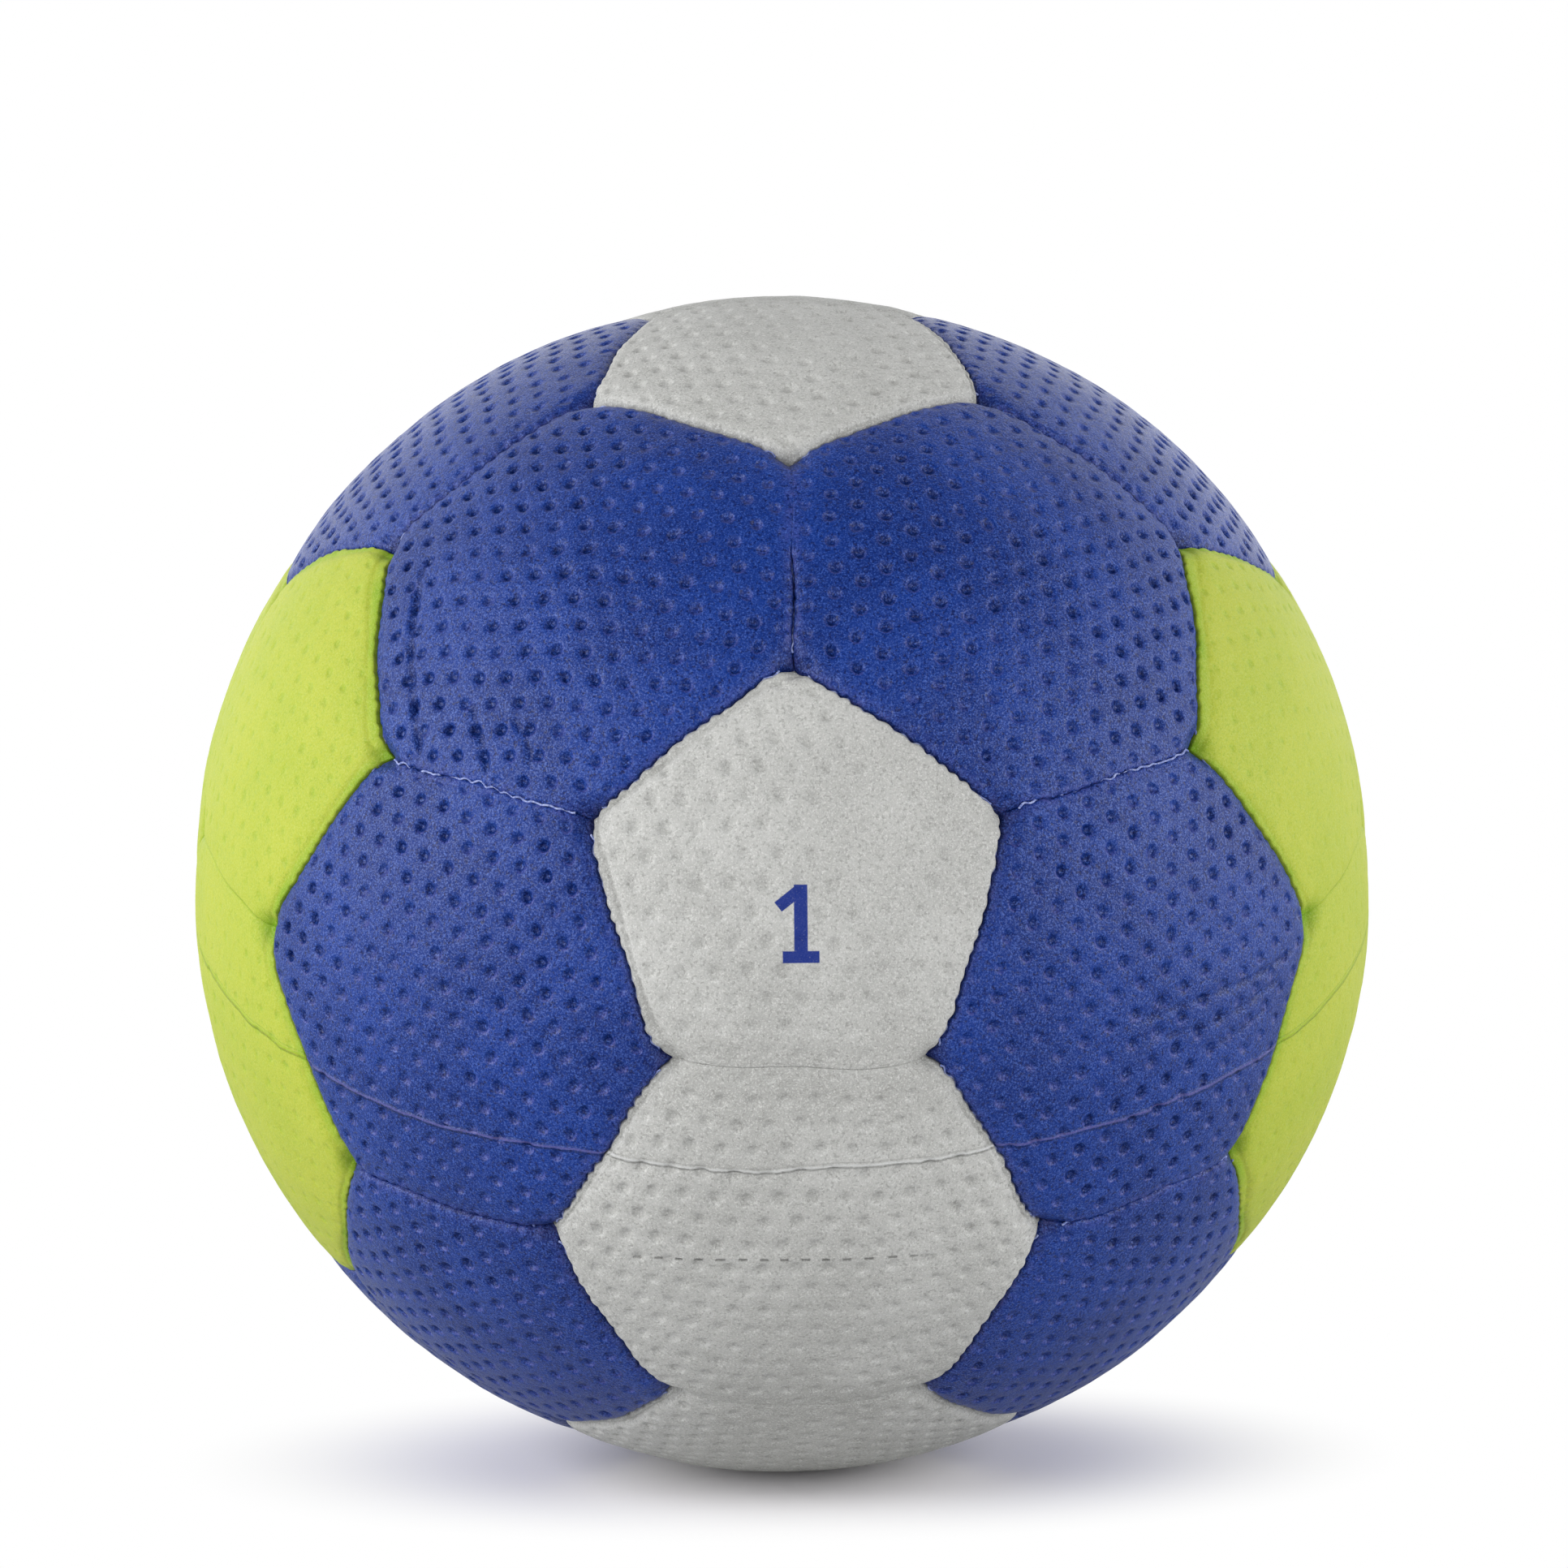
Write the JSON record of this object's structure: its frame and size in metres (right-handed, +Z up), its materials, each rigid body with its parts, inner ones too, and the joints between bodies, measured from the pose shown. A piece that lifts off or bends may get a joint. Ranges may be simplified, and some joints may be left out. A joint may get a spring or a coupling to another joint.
{
  "type": "handball",
  "caption": "Hand-stitched handball of padded pentagon and hexagon panels over an inflated bladder, with a needle valve.",
  "frame": {"origin": "centre of the ball", "axes": "+Z up, -Y the front, with the ball standing as it does in the picture; the needle valve points to +Y"},
  "size_m": [0.1616, 0.1622, 0.1616],
  "materials": {
    "cover_grey": "matte",
    "cover_blue": "matte",
    "cover_lime": "matte",
    "foam": "matte",
    "lining": "matte",
    "thread": "matte",
    "bladder_rubber": "satin",
    "patch_rubber": "matte",
    "valve_rubber": "satin",
    "insert_rubber": "satin"
  },
  "bodies": {
    "root": {"front_pentagon": "cover_grey", "front_ring_pentagon_1": "cover_grey", "front_ring_pentagon_2": "cover_lime", "front_ring_pentagon_3": "cover_blue", "front_ring_pentagon_4": "cover_blue", "front_ring_pentagon_5": "cover_lime", "back_ring_pentagon_1": "cover_blue", "back_ring_pentagon_2": "cover_lime", "back_ring_pentagon_3": "cover_grey", "back_ring_pentagon_4": "cover_lime", "back_ring_pentagon_5": "cover_blue", "back_pentagon": "cover_grey", "front_hexagon_1": "cover_blue", "front_hexagon_2": "cover_blue", "front_hexagon_3": "cover_grey", "front_hexagon_4": "cover_blue", "front_hexagon_5": "cover_blue", "front_side_hexagon_1": "cover_blue", "front_side_hexagon_2": "cover_lime", "front_side_hexagon_3": "cover_grey", "front_side_hexagon_4": "cover_lime", "front_side_hexagon_5": "cover_blue", "back_side_hexagon_1": "cover_grey", "back_side_hexagon_2": "cover_lime", "back_side_hexagon_3": "cover_blue", "back_side_hexagon_4": "cover_blue", "back_side_hexagon_5": "cover_lime", "back_hexagon_1": "cover_grey", "back_hexagon_2": "cover_blue", "back_hexagon_3": "cover_blue", "back_hexagon_4": "cover_blue", "back_hexagon_5": "cover_blue", "pentagon_foam_pads": "foam", "hexagon_foam_pads": "foam", "pentagon_linings": "lining", "hexagon_linings": "lining", "pentagon_seam_thread": "thread", "hexagon_seam_thread": "thread", "bladder": "bladder_rubber", "valve_patch": "patch_rubber", "valve_body": "valve_rubber", "valve_insert": "insert_rubber"}
  },
  "joints": []
}
